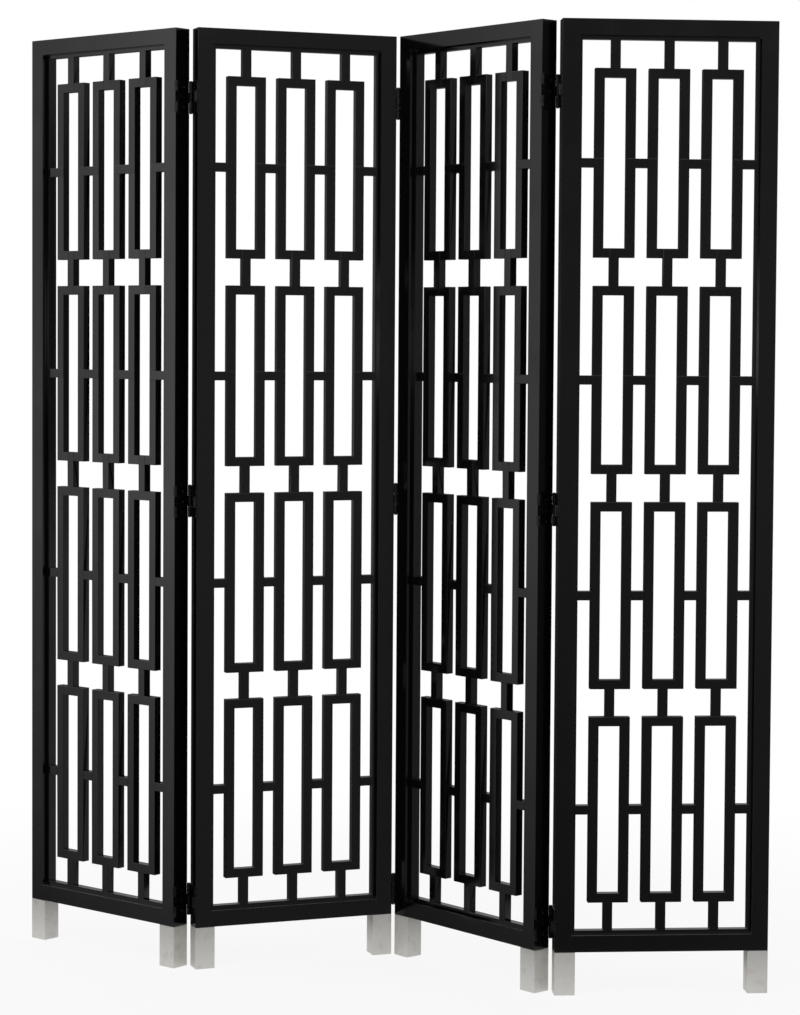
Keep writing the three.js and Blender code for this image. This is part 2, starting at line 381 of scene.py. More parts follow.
def to_mesh(name: str, shape: bmesh.types.BMesh) -> bpy.types.Mesh:
    """Turns a working shape into a mesh and frees it.

    Args:
        name: the name of the mesh.
        shape: the working shape.

    Returns:
        The mesh.
    """
    mesh = bpy.data.meshes.new(name)
    shape.to_mesh(mesh)
    shape.free()
    return mesh


def block(low: Corner, high: Corner) -> bpy.types.Mesh:
    """Makes a closed box from its lowest to its highest corner.

    Args:
        low: the lowest corner.
        high: the highest corner.

    Returns:
        The box.
    """
    shape = bmesh.new()
    bmesh.ops.create_cube(shape, size=1.0)
    size = Vector(high) - Vector(low)
    bmesh.ops.scale(shape, vec=size, verts=shape.verts)
    bmesh.ops.translate(shape, vec=(Vector(low) + Vector(high)) / 2, verts=shape.verts)
    return to_mesh("block", shape)


def prism(outline: Sequence[tuple[float, float]], bottom: float, top: float) -> bpy.types.Mesh:
    """Raises an outline drawn in plan, anticlockwise, from one height to another.

    Args:
        outline: the (x, y) corners.
        bottom: the lower height.
        top: the upper height.

    Returns:
        A closed mesh.
    """
    shape = bmesh.new()
    base = shape.faces.new([shape.verts.new((x, y, bottom)) for x, y in outline])
    base.normal_flip()
    grown = bmesh.ops.extrude_face_region(shape, geom=[base], use_keep_orig=True)
    risen = [part for part in grown["geom"] if isinstance(part, bmesh.types.BMVert)]
    bmesh.ops.translate(shape, vec=(0.0, 0.0, top - bottom), verts=risen)
    bmesh.ops.recalc_face_normals(shape, faces=shape.faces)
    return to_mesh("prism", shape)


def turned(profile: Sequence[tuple[float, float]], sides: int) -> bpy.types.Mesh:
    """Turns a profile about the upright axis.

    Args:
        profile: (radius, height) points from the bottom of the axis to its top.
        sides: how many facets go round.

    Returns:
        A closed mesh.
    """
    shape = bmesh.new()
    steps = [2 * math.pi * n / sides for n in range(sides)]
    rings = [
        [shape.verts.new((r * math.cos(a), r * math.sin(a), z)) for a in steps]
        for r, z in profile
        if r > 0
    ]
    for lower, upper in zip(rings, rings[1:]):
        for n in range(sides):
            m = (n + 1) % sides
            shape.faces.new((lower[n], lower[m], upper[m], upper[n]))
    shape.faces.new(reversed(rings[0]))
    shape.faces.new(rings[-1])
    return to_mesh("turned", shape)


def moved(mesh: bpy.types.Mesh, place: Matrix) -> bpy.types.Mesh:
    """Gives a copy of a mesh, carried to a place.

    Args:
        mesh: the mesh, which stays as it is.
        place: the matrix that carries the copy.

    Returns:
        The copy.
    """
    copy = mesh.copy()
    copy.transform(place)
    return copy


def worked(mesh: bpy.types.Mesh, *dressers: Dresser) -> bpy.types.Mesh:
    """Runs modifiers on a mesh.

    Args:
        mesh: the mesh before its modifiers.
        *dressers: functions that each add a modifier to an object.

    Returns:
        The result as a plain mesh.
    """
    bench = bpy.data.objects.new("bench", mesh)
    bpy.context.scene.collection.objects.link(bench)
    for dress in dressers:
        dress(bench)
    graph = bpy.context.evaluated_depsgraph_get()
    result = bpy.data.meshes.new_from_object(
        bench.evaluated_get(graph), preserve_all_data_layers=True, depsgraph=graph
    )
    bpy.data.objects.remove(bench)
    return result


def combined(
    base: bpy.types.Mesh, others: Sequence[bpy.types.Mesh], operation: Operation
) -> bpy.types.Mesh:
    """Joins solids to a first one, cuts them out of it, or keeps what they share.

    Args:
        base: the first solid.
        others: the solids that work on it, one after another.
        operation: what each of them does.

    Returns:
        The new solid.
    """
    tools = [bpy.data.objects.new("tool", other) for other in others]

    def dress(bench: bpy.types.Object) -> None:
        """Adds one modifier for each solid."""
        for tool in tools:
            bpy.context.scene.collection.objects.link(tool)
            modifier = bench.modifiers.new("solid", "BOOLEAN")
            modifier.operation = operation.value
            modifier.solver = "EXACT"
            modifier.object = tool

    result = worked(base, dress)
    for tool in tools:
        bpy.data.objects.remove(tool)
    return result


def round_edges(radius: float, segments: int = 3) -> Dresser:
    """Gives a modifier that rounds every sharp outer edge.

    Args:
        radius: the radius of the rounding.
        segments: how many facets make it up.

    Returns:
        A function that marks the edges of an object and adds the modifier.
    """

    def dress(bench: bpy.types.Object) -> None:
        """Marks the edges and adds the modifier."""
        shape = bmesh.new()
        shape.from_mesh(bench.data)
        weight = shape.edges.layers.float.new("bevel_weight_edge")
        for edge in shape.edges:
            sharp = edge.is_convex and edge.calc_face_angle(0.0) > ROUNDED_FROM
            edge[weight] = float(sharp)
        shape.to_mesh(bench.data)
        shape.free()
        modifier = bench.modifiers.new("round", "BEVEL")
        modifier.width = radius
        modifier.segments = segments
        modifier.limit_method = "WEIGHT"
        modifier.use_clamp_overlap = False

    return dress


def weld(bench: bpy.types.Object) -> None:
    """Adds a modifier that merges corners which lie on each other.

    Args:
        bench: the object that is worked on.
    """
    bench.modifiers.new("weld", "WELD").merge_threshold = WELD_DISTANCE


def clear_flats(bench: bpy.types.Object) -> None:
    """Adds a modifier that takes out the lines across flat faces.

    Args:
        bench: the object that is worked on.
    """
    modifier = bench.modifiers.new("clear", "DECIMATE")
    modifier.decimate_type = "DISSOLVE"
    modifier.angle_limit = math.radians(1)


def shade(mesh: bpy.types.Mesh) -> bpy.types.Mesh:
    """Shades rounded edges smooth and flats flat, with the shading set on the mesh itself.

    Args:
        mesh: a finished shape.

    Returns:
        The same shape with its shading normals.
    """
    shape = bmesh.new()
    shape.from_mesh(mesh)
    flats = [
        2 * face.calc_area() > FLAT_WIDTH * sum(edge.calc_length() for edge in face.edges)
        for face in shape.faces
    ]
    shape.free()
    mesh.shade_smooth()
    mesh.set_sharp_from_angle(angle=SHARP_FROM)
    beside: dict[int, list[Vector]] = {}
    for face in mesh.polygons:
        if flats[face.index]:
            for corner in face.vertices:
                beside.setdefault(corner, []).append(face.normal.copy())
    normals = [corner.vector.copy() for corner in mesh.corner_normals]
    for face in mesh.polygons:
        for corner, loop in zip(face.vertices, face.loop_indices):
            nearest = max(beside.get(corner, []), key=face.normal.dot, default=None)
            if flats[face.index]:
                normals[loop] = face.normal.copy()
            elif nearest is not None and nearest.dot(face.normal) > NEAR_FLAT:
                normals[loop] = nearest
    mesh.normals_split_custom_set(normals)
    return mesh


# ---- Finishes --------------------------------------------------------------------------------


class ShaderGroup(NodeBench):
    """A shader node group with named inputs that puts out one value."""

    def __init__(self, name: str, inputs: dict[str, float], output: str) -> None:
        """Makes the group's sockets.

        Args:
            name: the group's name.
            inputs: the value of each named input.
            output: the name of the value that it puts out.
        """
        super().__init__(bpy.data.node_groups.new(name, "ShaderNodeTree"))
        face = self.tree.interface
        for label, value in inputs.items():
            socket = face.new_socket(label, in_out="INPUT", socket_type="NodeSocketFloat")
            socket.default_value = value
        face.new_socket(output, in_out="OUTPUT", socket_type="NodeSocketFloat")
        self.start = self.add("NodeGroupInput")

    def given(self, name: str) -> Amount:
        """Gives one of the group's inputs as a number."""
        return Amount(self, self.start.outputs[name])

    def spot(self) -> bpy.types.NodeSocket:
        """Gives the place on the piece."""
        return self.add("ShaderNodeTexCoord").outputs["Object"]

    def noise(self, vector: object, scale: object, detail: float) -> Amount:
        """Gives a cloudy value from 0 to 1."""
        inputs = {"Vector": vector, "Scale": scale, "Detail": detail}
        return Amount(self, self.add("ShaderNodeTexNoise", inputs).outputs[0])

    def finish(self, value: Amount) -> bpy.types.NodeTree:
        """Sends a value out of the group and gives the group.

        Args:
            value: what the group puts out.

        Returns:
            The finished group.
        """
        end = self.add("NodeGroupOutput")
        self.tree.links.new(value.socket, end.inputs[0])
        return self.tree


def ripple_group() -> bpy.types.NodeTree:
    """Makes the faint orange peel and long waves of a sprayed surface, as a height.

    Returns:
        The group, with one output.
    """
    group = ShaderGroup("sprayed_ripple", {"Peel Scale": 260.0, "Wave Scale": 14.0}, "Height")
    spot = group.spot()
    peel_height, wave_height = 0.35, 4.0
    peel = group.noise(spot, group.given("Peel Scale"), 1.0)
    wave = group.noise(spot, group.given("Wave Scale"), 0.0)
    return group.finish(peel * peel_height + wave * wave_height)


def grain_group() -> bpy.types.NodeTree:
    """Makes the fine upright lines of brushed metal, from 0 to 1.

    Returns:
        The group, with one output.
    """
    group = ShaderGroup("upright_brushing", {"Fineness": 1400.0, "Stretch": 0.012}, "Lines")
    stretch = group.vector(1.0, 1.0, group.given("Stretch"))
    lines = group.add(
        "ShaderNodeVectorMath", {0: group.spot(), 1: stretch}, operation="MULTIPLY"
    )
    return group.finish(group.noise(lines.outputs[0], group.given("Fineness"), 2.0))


def marks_group() -> bpy.types.NodeTree:
    """Makes the soft patches that dust and handling leave, as a mask.

    Returns:
        The group, with one output.
    """
    group = ShaderGroup("handling_marks", {"Scale": 18.0, "Cover": 0.5}, "Mask")
    patches = group.noise(group.spot(), group.given("Scale"), 4.0)
    low = group.given("Cover") * -0.3 + 0.6
    return group.finish(group.between(patches, low, low + 0.3))


def edge_group() -> bpy.types.NodeTree:
    """Makes a broken line along the edges of a piece, as a mask: a painted highlight where it
    lightens colour, rubbed wear where it changes roughness.

    Returns:
        The group, with one output.
    """
    group = ShaderGroup("rubbed_and_highlit_edges", {"Reach": 0.0012, "Breaks": 90.0}, "Mask")
    soft = group.add("ShaderNodeBevel", {"Radius": group.given("Reach")}, samples=4)
    flat = group.add("ShaderNodeNewGeometry")
    turn = group.add(
        "ShaderNodeVectorMath",
        {0: soft.outputs["Normal"], 1: flat.outputs["Normal"]},
        operation="DOT_PRODUCT",
    )
    bend = group.between(Amount(group, turn.outputs["Value"]) * -1.0 + 1.0, 0.02, 0.25)
    breaks = group.between(group.noise(group.spot(), group.given("Breaks"), 3.0), 0.38, 0.62)
    return group.finish(bend * breaks)


@dataclass(frozen=True)
class Effects:
    """The shader groups that the finishes share."""

    ripple: bpy.types.NodeTree
    brushing: bpy.types.NodeTree
    marks: bpy.types.NodeTree
    edges: bpy.types.NodeTree

    @classmethod
    def make(cls) -> Effects:
        """Builds each group once."""
        return cls(ripple_group(), grain_group(), marks_group(), edge_group())


class FinishBench(NodeBench):
    """A material with one Principled shader, and helpers to feed it."""

    def __init__(self, name: str, constants: dict[str, object]) -> None:
        """Makes the material.

        Args:
            name: the material's name.
            constants: the shader's values that are the same all over.
        """
        self.material = bpy.data.materials.new(name)
        self.material.use_nodes = True
        super().__init__(self.material.node_tree)
        self.tree.nodes.clear()
        self.shader = self.add("ShaderNodeBsdfPrincipled", constants)
        self.add("ShaderNodeOutputMaterial", {"Surface": self.shader.outputs[0]})

    def effect(self, group: bpy.types.NodeTree, **values: float) -> bpy.types.NodeSocket:
        """Places a shared group with its own values.

        Args:
            group: the shared group.
            **values: its inputs, with _ for a space.

        Returns:
            What the group puts out.
        """
        node = self.add("ShaderNodeGroup", node_tree=group)
        for name, value in values.items():
            node.inputs[name.replace("_", " ").title()].default_value = value
        return node.outputs[0]

    def span(self, fac: object, low: float, high: float) -> bpy.types.NodeSocket:
        """Turns a mask into a value between two others."""
        inputs = {"Value": fac, "To Min": low, "To Max": high}
        return self.add("ShaderNodeMapRange", inputs).outputs[0]

    def tint(
        self, fac: object, first: Sequence[float], second: Sequence[float]
    ) -> bpy.types.NodeSocket:
        """Mixes two colours by a mask."""
        inputs = {0: fac, 6: (*first, 1.0), 7: (*second, 1.0)}
        return self.add("ShaderNodeMix", inputs, data_type="RGBA").outputs[2]

    def total(self, *parts: object) -> bpy.types.NodeSocket:
        """Adds masks or heights together.

        Args:
            *parts: the sockets that are added.

        Returns:
            Their sum.
        """
        amount = Amount(self, parts[0])
        for part in parts[1:]:
            amount = amount + part
        return amount.socket

    def relief(self, height: object, depth: float) -> None:
        """Feeds a height to the shader as a bump of the given depth."""
        bump = self.add("ShaderNodeBump", {"Height": height, "Distance": depth})
        self.feed(self.shader.inputs["Normal"], bump.outputs[0])


@dataclass(frozen=True)
class GlossLacquer:
    """Black sprayed lacquer, polished but with a trace of orange peel."""

    body_colour: tuple[float, float, float] = (0.0019, 0.0018, 0.0019)
    edge_highlight_colour: tuple[float, float, float] = (0.012, 0.0115, 0.011)
    clean_roughness: float = 0.09
    dusty_roughness: float = 0.17
    refraction: float = 1.58
    peel_depth: float = 0.00002

    def material(self, effects: Effects) -> bpy.types.Material:
        """Builds the material.

        Args:
            effects: the shared shader groups.

        Returns:
            The material.
        """
        bench = FinishBench("black_gloss_lacquer", {"IOR": self.refraction})
        rub_and_highlight = bench.effect(effects.edges, reach=0.0012, breaks=70.0)
        marks = bench.effect(effects.marks, scale=9.0, cover=0.5)
        shader = bench.shader.inputs
        # the lighter colour along the rounded edges is a painted highlight; the roughness added
        # there below is rubbed lacquer
        bench.feed(shader["Base Color"], bench.tint(rub_and_highlight, self.body_colour, self.edge_highlight_colour))
        rough = bench.span(marks, self.clean_roughness, self.dusty_roughness)
        bench.feed(shader["Roughness"], bench.total(rough, bench.span(rub_and_highlight, 0.0, 0.08)))
        ripple = bench.effect(effects.ripple, peel_scale=230.0, wave_scale=11.0)
        bench.relief(ripple, self.peel_depth)
        return bench.material


@dataclass(frozen=True)
class BrushedSteel:
    """Pale steel, brushed along its height, with faint stains."""

    body_colour: tuple[float, float, float] = (0.78, 0.765, 0.74)
    stained_colour: tuple[float, float, float] = (0.62, 0.59, 0.55)
    roughness: float = 0.46
    line_depth: float = 0.00001

    def material(self, effects: Effects) -> bpy.types.Material:
        """Builds the material.

        Args:
            effects: the shared shader groups.

        Returns:
            The material.
        """
        bench = FinishBench("brushed_steel", {"Metallic": 1.0})
        lines = bench.effect(effects.brushing, fineness=1500.0, stretch=0.02)
        stains = bench.effect(effects.marks, scale=60.0, cover=0.4)
        rub_and_highlight = bench.effect(effects.edges, reach=0.001, breaks=200.0)
        shader = bench.shader.inputs
        tone = bench.total(bench.span(stains, 0.0, 0.6), bench.span(lines, -0.15, 0.25))
        bench.feed(shader["Base Color"], bench.tint(tone, self.body_colour, self.stained_colour))
        rough = bench.span(lines, self.roughness - 0.08, self.roughness + 0.12)
        bench.feed(shader["Roughness"], bench.total(rough, bench.span(rub_and_highlight, 0.0, -0.1)))
        bench.relief(lines, self.line_depth)
        return bench.material


@dataclass(frozen=True)
class BlackenedSteel:
    """Dark hinge steel with a painted highlight along its edges."""

    body_colour: tuple[float, float, float] = (0.055, 0.054, 0.056)
    painted_highlight_colour: tuple[float, float, float] = (0.32, 0.31, 0.30)
    roughness: float = 0.3
    grain_depth: float = 0.00001

    def material(self, effects: Effects) -> bpy.types.Material:
        """Builds the material.

        Args:
            effects: the shared shader groups.

        Returns:
            The material.
        """
        bench = FinishBench("blackened_steel", {"Metallic": 1.0})
        rub_and_highlight = bench.effect(effects.edges, reach=0.0006, breaks=400.0)
        marks = bench.effect(effects.marks, scale=150.0, cover=0.6)
        shader = bench.shader.inputs
        # pale grey along the edges: a painted highlight
        bench.feed(shader["Base Color"], bench.tint(rub_and_highlight, self.body_colour, self.painted_highlight_colour))
        rough = bench.span(marks, self.roughness - 0.06, self.roughness + 0.12)
        bench.feed(shader["Roughness"], rough)
        ripple = bench.effect(effects.ripple, peel_scale=900.0, wave_scale=120.0)
        bench.relief(ripple, self.grain_depth)
        return bench.material


@dataclass(frozen=True)
class Finishes:
    """The materials of the screen, by slot."""

    by_slot: dict[Slot, bpy.types.Material]

    @classmethod
    def make(cls) -> Finishes:
        """Builds the shared effects and each material once.

        Returns:
            The finishes.
        """
        effects = Effects.make()
        return cls(
            {
                Slot.LACQUER: GlossLacquer().material(effects),
                Slot.BRUSHED_STEEL: BrushedSteel().material(effects),
                Slot.BLACKENED_STEEL: BlackenedSteel().material(effects),
            }
        )

    def put(
        self,
        name: str,
        mesh: bpy.types.Mesh,
        place: Matrix,
        body: str,
        slot: Slot,
        node: str | None = None,
    ) -> None:
        """Adds a finished piece to the scene.

        Args:
            name: the piece's name.
            mesh: its shape, in its own frame.
            place: the matrix that carries it to its place.
            body: the body that it moves with.
            slot: its material slot.
            node: the solid that it stands for, if there is one.
        """
        mesh = moved(mesh, place)
        mesh.name = name
        mesh.materials.clear()
        mesh.materials.append(self.by_slot[slot])
        piece = bpy.data.objects.new(name, mesh)
        bpy.context.scene.collection.objects.link(piece)
        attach(piece, body)
        if node:
            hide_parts(node)
        log.info("%s: %d faces, rides on %s", name, len(mesh.polygons), body)


# ---- The panels ------------------------------------------------------------------------------


@dataclass(frozen=True)
class PanelSizes:
    """The sizes that a panel's pieces share."""

    height: float = 1.800
    width: float = 0.400
    depth: float = 0.037
    stile_width: float = 0.0315
    top_rail: float = 0.030
    bottom_rail: float = 0.032
    foot_height: float = 0.080
    border: float = 0.007
    border_let_in: float = 0.003
    lattice_depth: float = 0.016
    edge_radius: float = 0.0008
    fit: float = 0.0003

    @property
    def opening(self) -> tuple[Corner, Corner]:
        """The lowest and highest corner of the space inside the frame.

        Returns:
            The two corners.
        """
        low = (self.stile_width, 0.0, self.foot_height + self.bottom_rail)
        high = (self.width - self.stile_width, self.depth, self.height - self.top_rail)
        return low, high

    @property
    def edges(self) -> dict[Side, Matrix]:
        """Carries a piece of the left edge to either edge, turned half round on the right one.

        Returns:
            The matrix of each edge.
        """
        half_turn = Matrix.Rotation(math.pi, 4, "Z")
        right = Matrix.Translation((self.width, self.depth, 0.0)) @ half_turn
        return {Side.LEFT: Matrix.Identity(4), Side.RIGHT: right}

    def place(self, number: int) -> Matrix:
        """Finds where a panel stands from its two feet.

        Args:
            number: the panel's number.

        Returns:
            The matrix that carries the panel's frame to its place.
        """
        middles = [sum(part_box(f"panel_{number}_{side.value}_foot"), Vector()) / 2 for side in Side]
        along = middles[1] - middles[0]
        turn = Matrix.Rotation(math.atan2(along.y, along.x), 4, "Z")
        middle = sum(middles, Vector()) / 2
        centre = Matrix.Translation((-self.width / 2, -self.depth / 2, 0.0))
        return Matrix.Translation((middle.x, middle.y, 0.0)) @ turn @ centre


@dataclass(frozen=True)
class PanelFrame:
    """The four lacquered members of a panel, with seamless corners."""

    panel: PanelSizes
    leaf_height: float = 0.060
    leaf_let_in: float = 0.0012
    foot_wall: float = 0.0015
    foot_floor: float = 0.003

    def whole(self) -> bpy.types.Mesh:
        """Makes all four members in one, with rounded edges and the groove for the lattice.

        Returns:
            The members as one solid.
        """
        size = self.panel
        (x0, y0, z0), (x1, y1, z1) = size.opening
        top = (size.width, size.depth, size.height)
        outer = block((0.0, 0.0, size.foot_height + size.fit), top)
        inner = block((x0, y0 - PAST, z0), (x1, y1 + PAST, z1))
        ring = worked(combined(outer, [inner], Operation.CUT), round_edges(size.edge_radius))
        deep = size.border_let_in + size.fit
        half = size.lattice_depth / 2 + size.fit
        groove = block(
            (x0 - deep, size.depth / 2 - half, z0 - deep),
            (x1 + deep, size.depth / 2 + half, z1 + deep),
        )
        return combined(ring, [groove], Operation.CUT)

    def stile(self, whole: bpy.types.Mesh, hinges: Sequence[float]) -> bpy.types.Mesh:
        """Makes a left stile with the tenon for its foot and the housings for its hinges.

        Args:
            whole: all four members in one.
            hinges: the heights of the hinges, if it has any.

        Returns:
            The stile.
        """
        size = self.panel
        inset = self.foot_wall + size.fit
        top = (size.stile_width, size.depth + PAST, size.height + PAST)
        stile = combined(whole, [block((-PAST, -PAST, 0.0), top)], Operation.KEEP)
        tenon = block(
            (inset, inset, self.foot_floor + size.fit),
            (size.stile_width - inset, size.depth - inset, size.foot_height + PAST),
        )
        stile = combined(stile, [tenon], Operation.JOIN)
        half = self.leaf_height / 2 + size.fit
        floor = self.leaf_let_in + size.fit
        housings = [
            block((-PAST, -PAST, z - half), (floor, size.depth + PAST, z + half)) for z in hinges
        ]
        if housings:
            stile = combined(stile, housings, Operation.CUT)
        return shade(stile)

    def rail(self, whole: bpy.types.Mesh, place: RailPlace) -> bpy.types.Mesh:
        """Cuts a rail out of the four members, between the stiles.

        Args:
            whole: all four members in one.
            place: which rail it is.

        Returns:
            The rail.
        """
        size = self.panel
        (left, _, low), (right, _, high) = size.opening
        bottom, top = {
            RailPlace.BOTTOM: (0.0, low + PAST),
            RailPlace.TOP: (high - PAST, size.height + PAST),
        }[place]
        keep = block((left, -PAST, bottom), (right, size.depth + PAST, top))
        return shade(combined(whole, [keep], Operation.KEEP))


@dataclass(frozen=True)
class Lattice:
    """Upright rings in rows and columns, tied to each other and to a narrow border."""

    panel: PanelSizes
    columns: int = 3
    rows: int = 4
    column_gap: float = 0.024
    row_gap: float = 0.0515
    bar_width: float = 0.0175
    tie_width: float = 0.017
    edge_radius: float = 0.0007

    @staticmethod
    def tree() -> GeometryTree:
        """Builds the node tree of a lattice about the origin.

        Returns:
            The tree.
        """
        tree = GeometryTree("ring_lattice")
        columns, rows = tree.count("Columns"), tree.count("Rows")
        width, height = tree.size("Field Width"), tree.size("Field Height")
        column_gap, row_gap = tree.size("Column Gap"), tree.size("Row Gap")
        bar, tie = tree.size("Bar Width"), tree.size("Tie Width")
        depth, border = tree.size("Depth"), tree.size("Border")
        ring_width = (width - (columns + 1.0) * column_gap) / columns
        ring_height = (height - (rows + 1.0) * row_gap) / rows
        across, up = ring_width + column_gap, ring_height + row_gap
        grid = tree.add(
            "GeometryNodeMeshGrid",
            {
                "Size X": (columns - 1.0) * across,
                "Size Y": (rows - 1.0) * up,
                "Vertices X": columns,
                "Vertices Y": rows,
            },
        )
        stood = tree.add(
            "GeometryNodeTransform",
            {"Geometry": grid.outputs["Mesh"], "Rotation": (math.pi / 2, 0.0, 0.0)},
        )
        middles = stood.outputs[0]
        rings = tree.repeat(middles, tree.block(ring_width, depth, ring_height))
        holes = tree.repeat(
            middles,
            tree.block(ring_width - bar * 2.0, depth * 2.0, ring_height - bar * 2.0),
        )
        level = tree.repeat(
            tree.row(rows, up, Vector((0, 0, 1))), tree.block(width + border, depth, tie)
        )
        upright = tree.repeat(
            tree.row(columns, across, Vector((1, 0, 0))),
            tree.block(tie, depth, height + border),
        )
        edge = tree.solid(
            Operation.CUT,
            tree.block(width + border * 2.0, depth, height + border * 2.0),
            tree.block(width, depth * 2.0, height),
        )
        joined = tree.solid(Operation.JOIN, edge, rings, level, upright)
        tree.finish(tree.solid(Operation.CUT, joined, holes))
        return tree

    def mesh(self, material: bpy.types.Material) -> bpy.types.Mesh:
        """Runs the tree and rounds the edges.

        Args:
            material: the lattice's material.

        Returns:
            The lattice in the panel's frame.
        """
        size = self.panel
        low, high = (Vector(corner) for corner in size.opening)
        values = {
            "Material": material,
            "Columns": self.columns,
            "Rows": self.rows,
            "Field Width": high.x - low.x - 2 * size.border,
            "Field Height": high.z - low.z - 2 * size.border,
            "Column Gap": self.column_gap,
            "Row Gap": self.row_gap,
            "Bar Width": self.bar_width,
            "Tie Width": self.tie_width,
            "Depth": size.lattice_depth,
            "Border": size.border + size.border_let_in,
        }
        blank = bpy.data.meshes.new("lattice_blank")
        grown = worked(blank, self.tree().dresser(values), weld, clear_flats)
        made = worked(grown, round_edges(self.edge_radius))
        return shade(moved(made, Matrix.Translation((low + high) / 2)))


@dataclass(frozen=True)
class Foot:
    """A steel block under a stile and the border beside it, with a socket for the stile."""

    panel: PanelSizes
    wall: float = 0.0015
    floor: float = 0.003
    edge_radius: float = 0.0009

    def mesh(self) -> bpy.types.Mesh:
        """Makes a left foot: eased outside, with a square socket for the stile's tenon.

        Returns:
            The foot.
        """
        size = self.panel
        width = size.stile_width + size.border
        over = size.foot_height + 2 * self.wall
        sleeve = block((0.0, 0.0, 0.0), (width, size.depth, size.foot_height + self.wall))
        sleeve = worked(sleeve, round_edges(self.edge_radius))
        trim = block((-PAST, -PAST, size.foot_height), (width + PAST, size.depth + PAST, over))
        socket = block(
            (self.wall, self.wall, self.floor),
            (size.stile_width - self.wall, size.depth - self.wall, over),
        )
        return shade(combined(sleeve, [trim, socket], Operation.CUT))


# ---- The hinges ------------------------------------------------------------------------------


@dataclass(frozen=True)
class Hinge:
    """Two equal leaves with knuckles on both long edges, one pin, and countersunk screws."""

    panel: PanelSizes
    inset: float = 0.130
    gap: float = 0.006
    pin_line_offset: float = 0.001
    leaf_height: float = 0.060
    leaf_thickness: float = 0.002
    leaf_let_in: float = 0.0012
    leaf_margin: float = 0.003
    knuckle_radius: float = 0.0038
    knuckle_space: float = 0.0004
    bore_radius: float = 0.0022
    pin_radius: float = 0.0019
    pin_head_radius: float = 0.0028
    pin_head_height: float = 0.0012
    pin_head_rim: float = 0.4  # the share of the head's height below its dome
    pin_play: float = 0.0003
    screw_spacing: float = 0.020
    screw_radius: float = 0.0022
    screw_head_radius: float = 0.0036
    sides: int = 32

    @property
    def heights(self) -> dict[HingePlace, float]:
        """The middle height of each hinge on a line.

        Returns:
            The heights, by place.
        """
        return {
            HingePlace.BOTTOM: self.inset,
            HingePlace.MIDDLE: self.panel.height / 2,
            HingePlace.TOP: self.panel.height - self.inset,
        }

    @property
    def face(self) -> float:
        """How far the leaf's outer face stands from the stile's edge."""
        return self.leaf_thickness - self.leaf_let_in

    def pin_line(self, at: PinFace) -> float:
        """The depth of the pin line in the panel's frame.

        Args:
            at: the face that the pin line stands before.

        Returns:
            The depth.
        """
        if at is PinFace.FRONT:
            return -self.pin_line_offset
        return self.panel.depth + self.pin_line_offset

    def knuckle(self, at: PinFace, bottom: float, top: float) -> list[bpy.types.Mesh]:
        """Makes a barrel and the web that curls into it from the leaf.

        Args:
            at: the face on whose side the barrel stands.
            bottom: its lower end.
            top: its upper end.

        Returns:
            The web and the barrel.
        """
        radius = self.gap / 2
        line = self.pin_line(at)
        inward = 1.0 if at is PinFace.FRONT else -1.0
        edge = 0.0 if at is PinFace.FRONT else self.panel.depth
        flat_end = edge + inward * (self.leaf_margin + PAST)
        web = [
            (-self.leaf_let_in, flat_end),
            (-self.leaf_let_in, line),
            (radius, line),
            (self.face, flat_end),
        ]
        outline = web if at is PinFace.BACK else web[::-1]
        barrel = turned([(self.knuckle_radius, bottom), (self.knuckle_radius, top)], self.sides)
        middle = Matrix.Translation((radius, line, 0.0))
        return [prism(outline, bottom, top), moved(barrel, middle)]

    def leaf(self, pin: PinFace) -> bpy.types.Mesh:
        """Makes a leaf for a right stile, about its middle height.

        Args:
            pin: the edge whose knuckles are bored for the pin.

        Returns:
            The leaf, with countersunk holes.
        """
        half, third = self.leaf_height / 2, self.leaf_height / 3
        near = third / 2 - self.knuckle_space / 2
        far = third / 2 + self.knuckle_space / 2
        flat = block(
            (-self.leaf_let_in, self.leaf_margin, -half),
            (self.face, self.panel.depth - self.leaf_margin, half),
        )
        knuckles = [
            *self.knuckle(PinFace.FRONT, -half, -far),
            *self.knuckle(PinFace.FRONT, far, half),
            *self.knuckle(PinFace.BACK, -near, near),
        ]
        ends = (-half - PAST, half + PAST)
        bore = turned([(self.bore_radius, end) for end in ends], self.sides)
        cutters = [moved(bore, Matrix.Translation((self.gap / 2, self.pin_line(pin), 0.0)))]
        slope = self.screw_head_radius - self.screw_radius
        sink = turned(
            [
                (self.screw_radius, -self.leaf_thickness - PAST),
                (self.screw_radius, -slope),
                (self.screw_head_radius, 0.0),
                (self.screw_head_radius, PAST),
            ],
            self.sides,
        )
        lie = Matrix.Rotation(math.pi / 2, 4, "Y")
        for z in (-self.screw_spacing, 0.0, self.screw_spacing):
            place = Matrix.Translation((self.face, self.panel.depth / 2, z))
            cutters.append(moved(sink, place @ lie))
        joined = combined(flat, knuckles, Operation.JOIN)
        return shade(combined(joined, cutters, Operation.CUT))

    def pin(self) -> bpy.types.Mesh:
        """Makes a pin with a domed head at each end, about its middle height.

        Returns:
            The pin.
        """
        seat = self.leaf_height / 2 + self.pin_play
        radius, height, rim = self.pin_head_radius, self.pin_head_height, self.pin_head_rim
        steps = [math.radians(angle) for angle in range(0, 90, 15)]
        dome = [
            (radius * math.cos(a), seat + height * (rim + (1 - rim) * math.sin(a))) for a in steps
        ]
        half = [(self.pin_radius, seat), (radius, seat), *dome]
        lower = [(r, -z) for r, z in reversed(half)]
        return shade(turned([*lower, *half], self.sides))


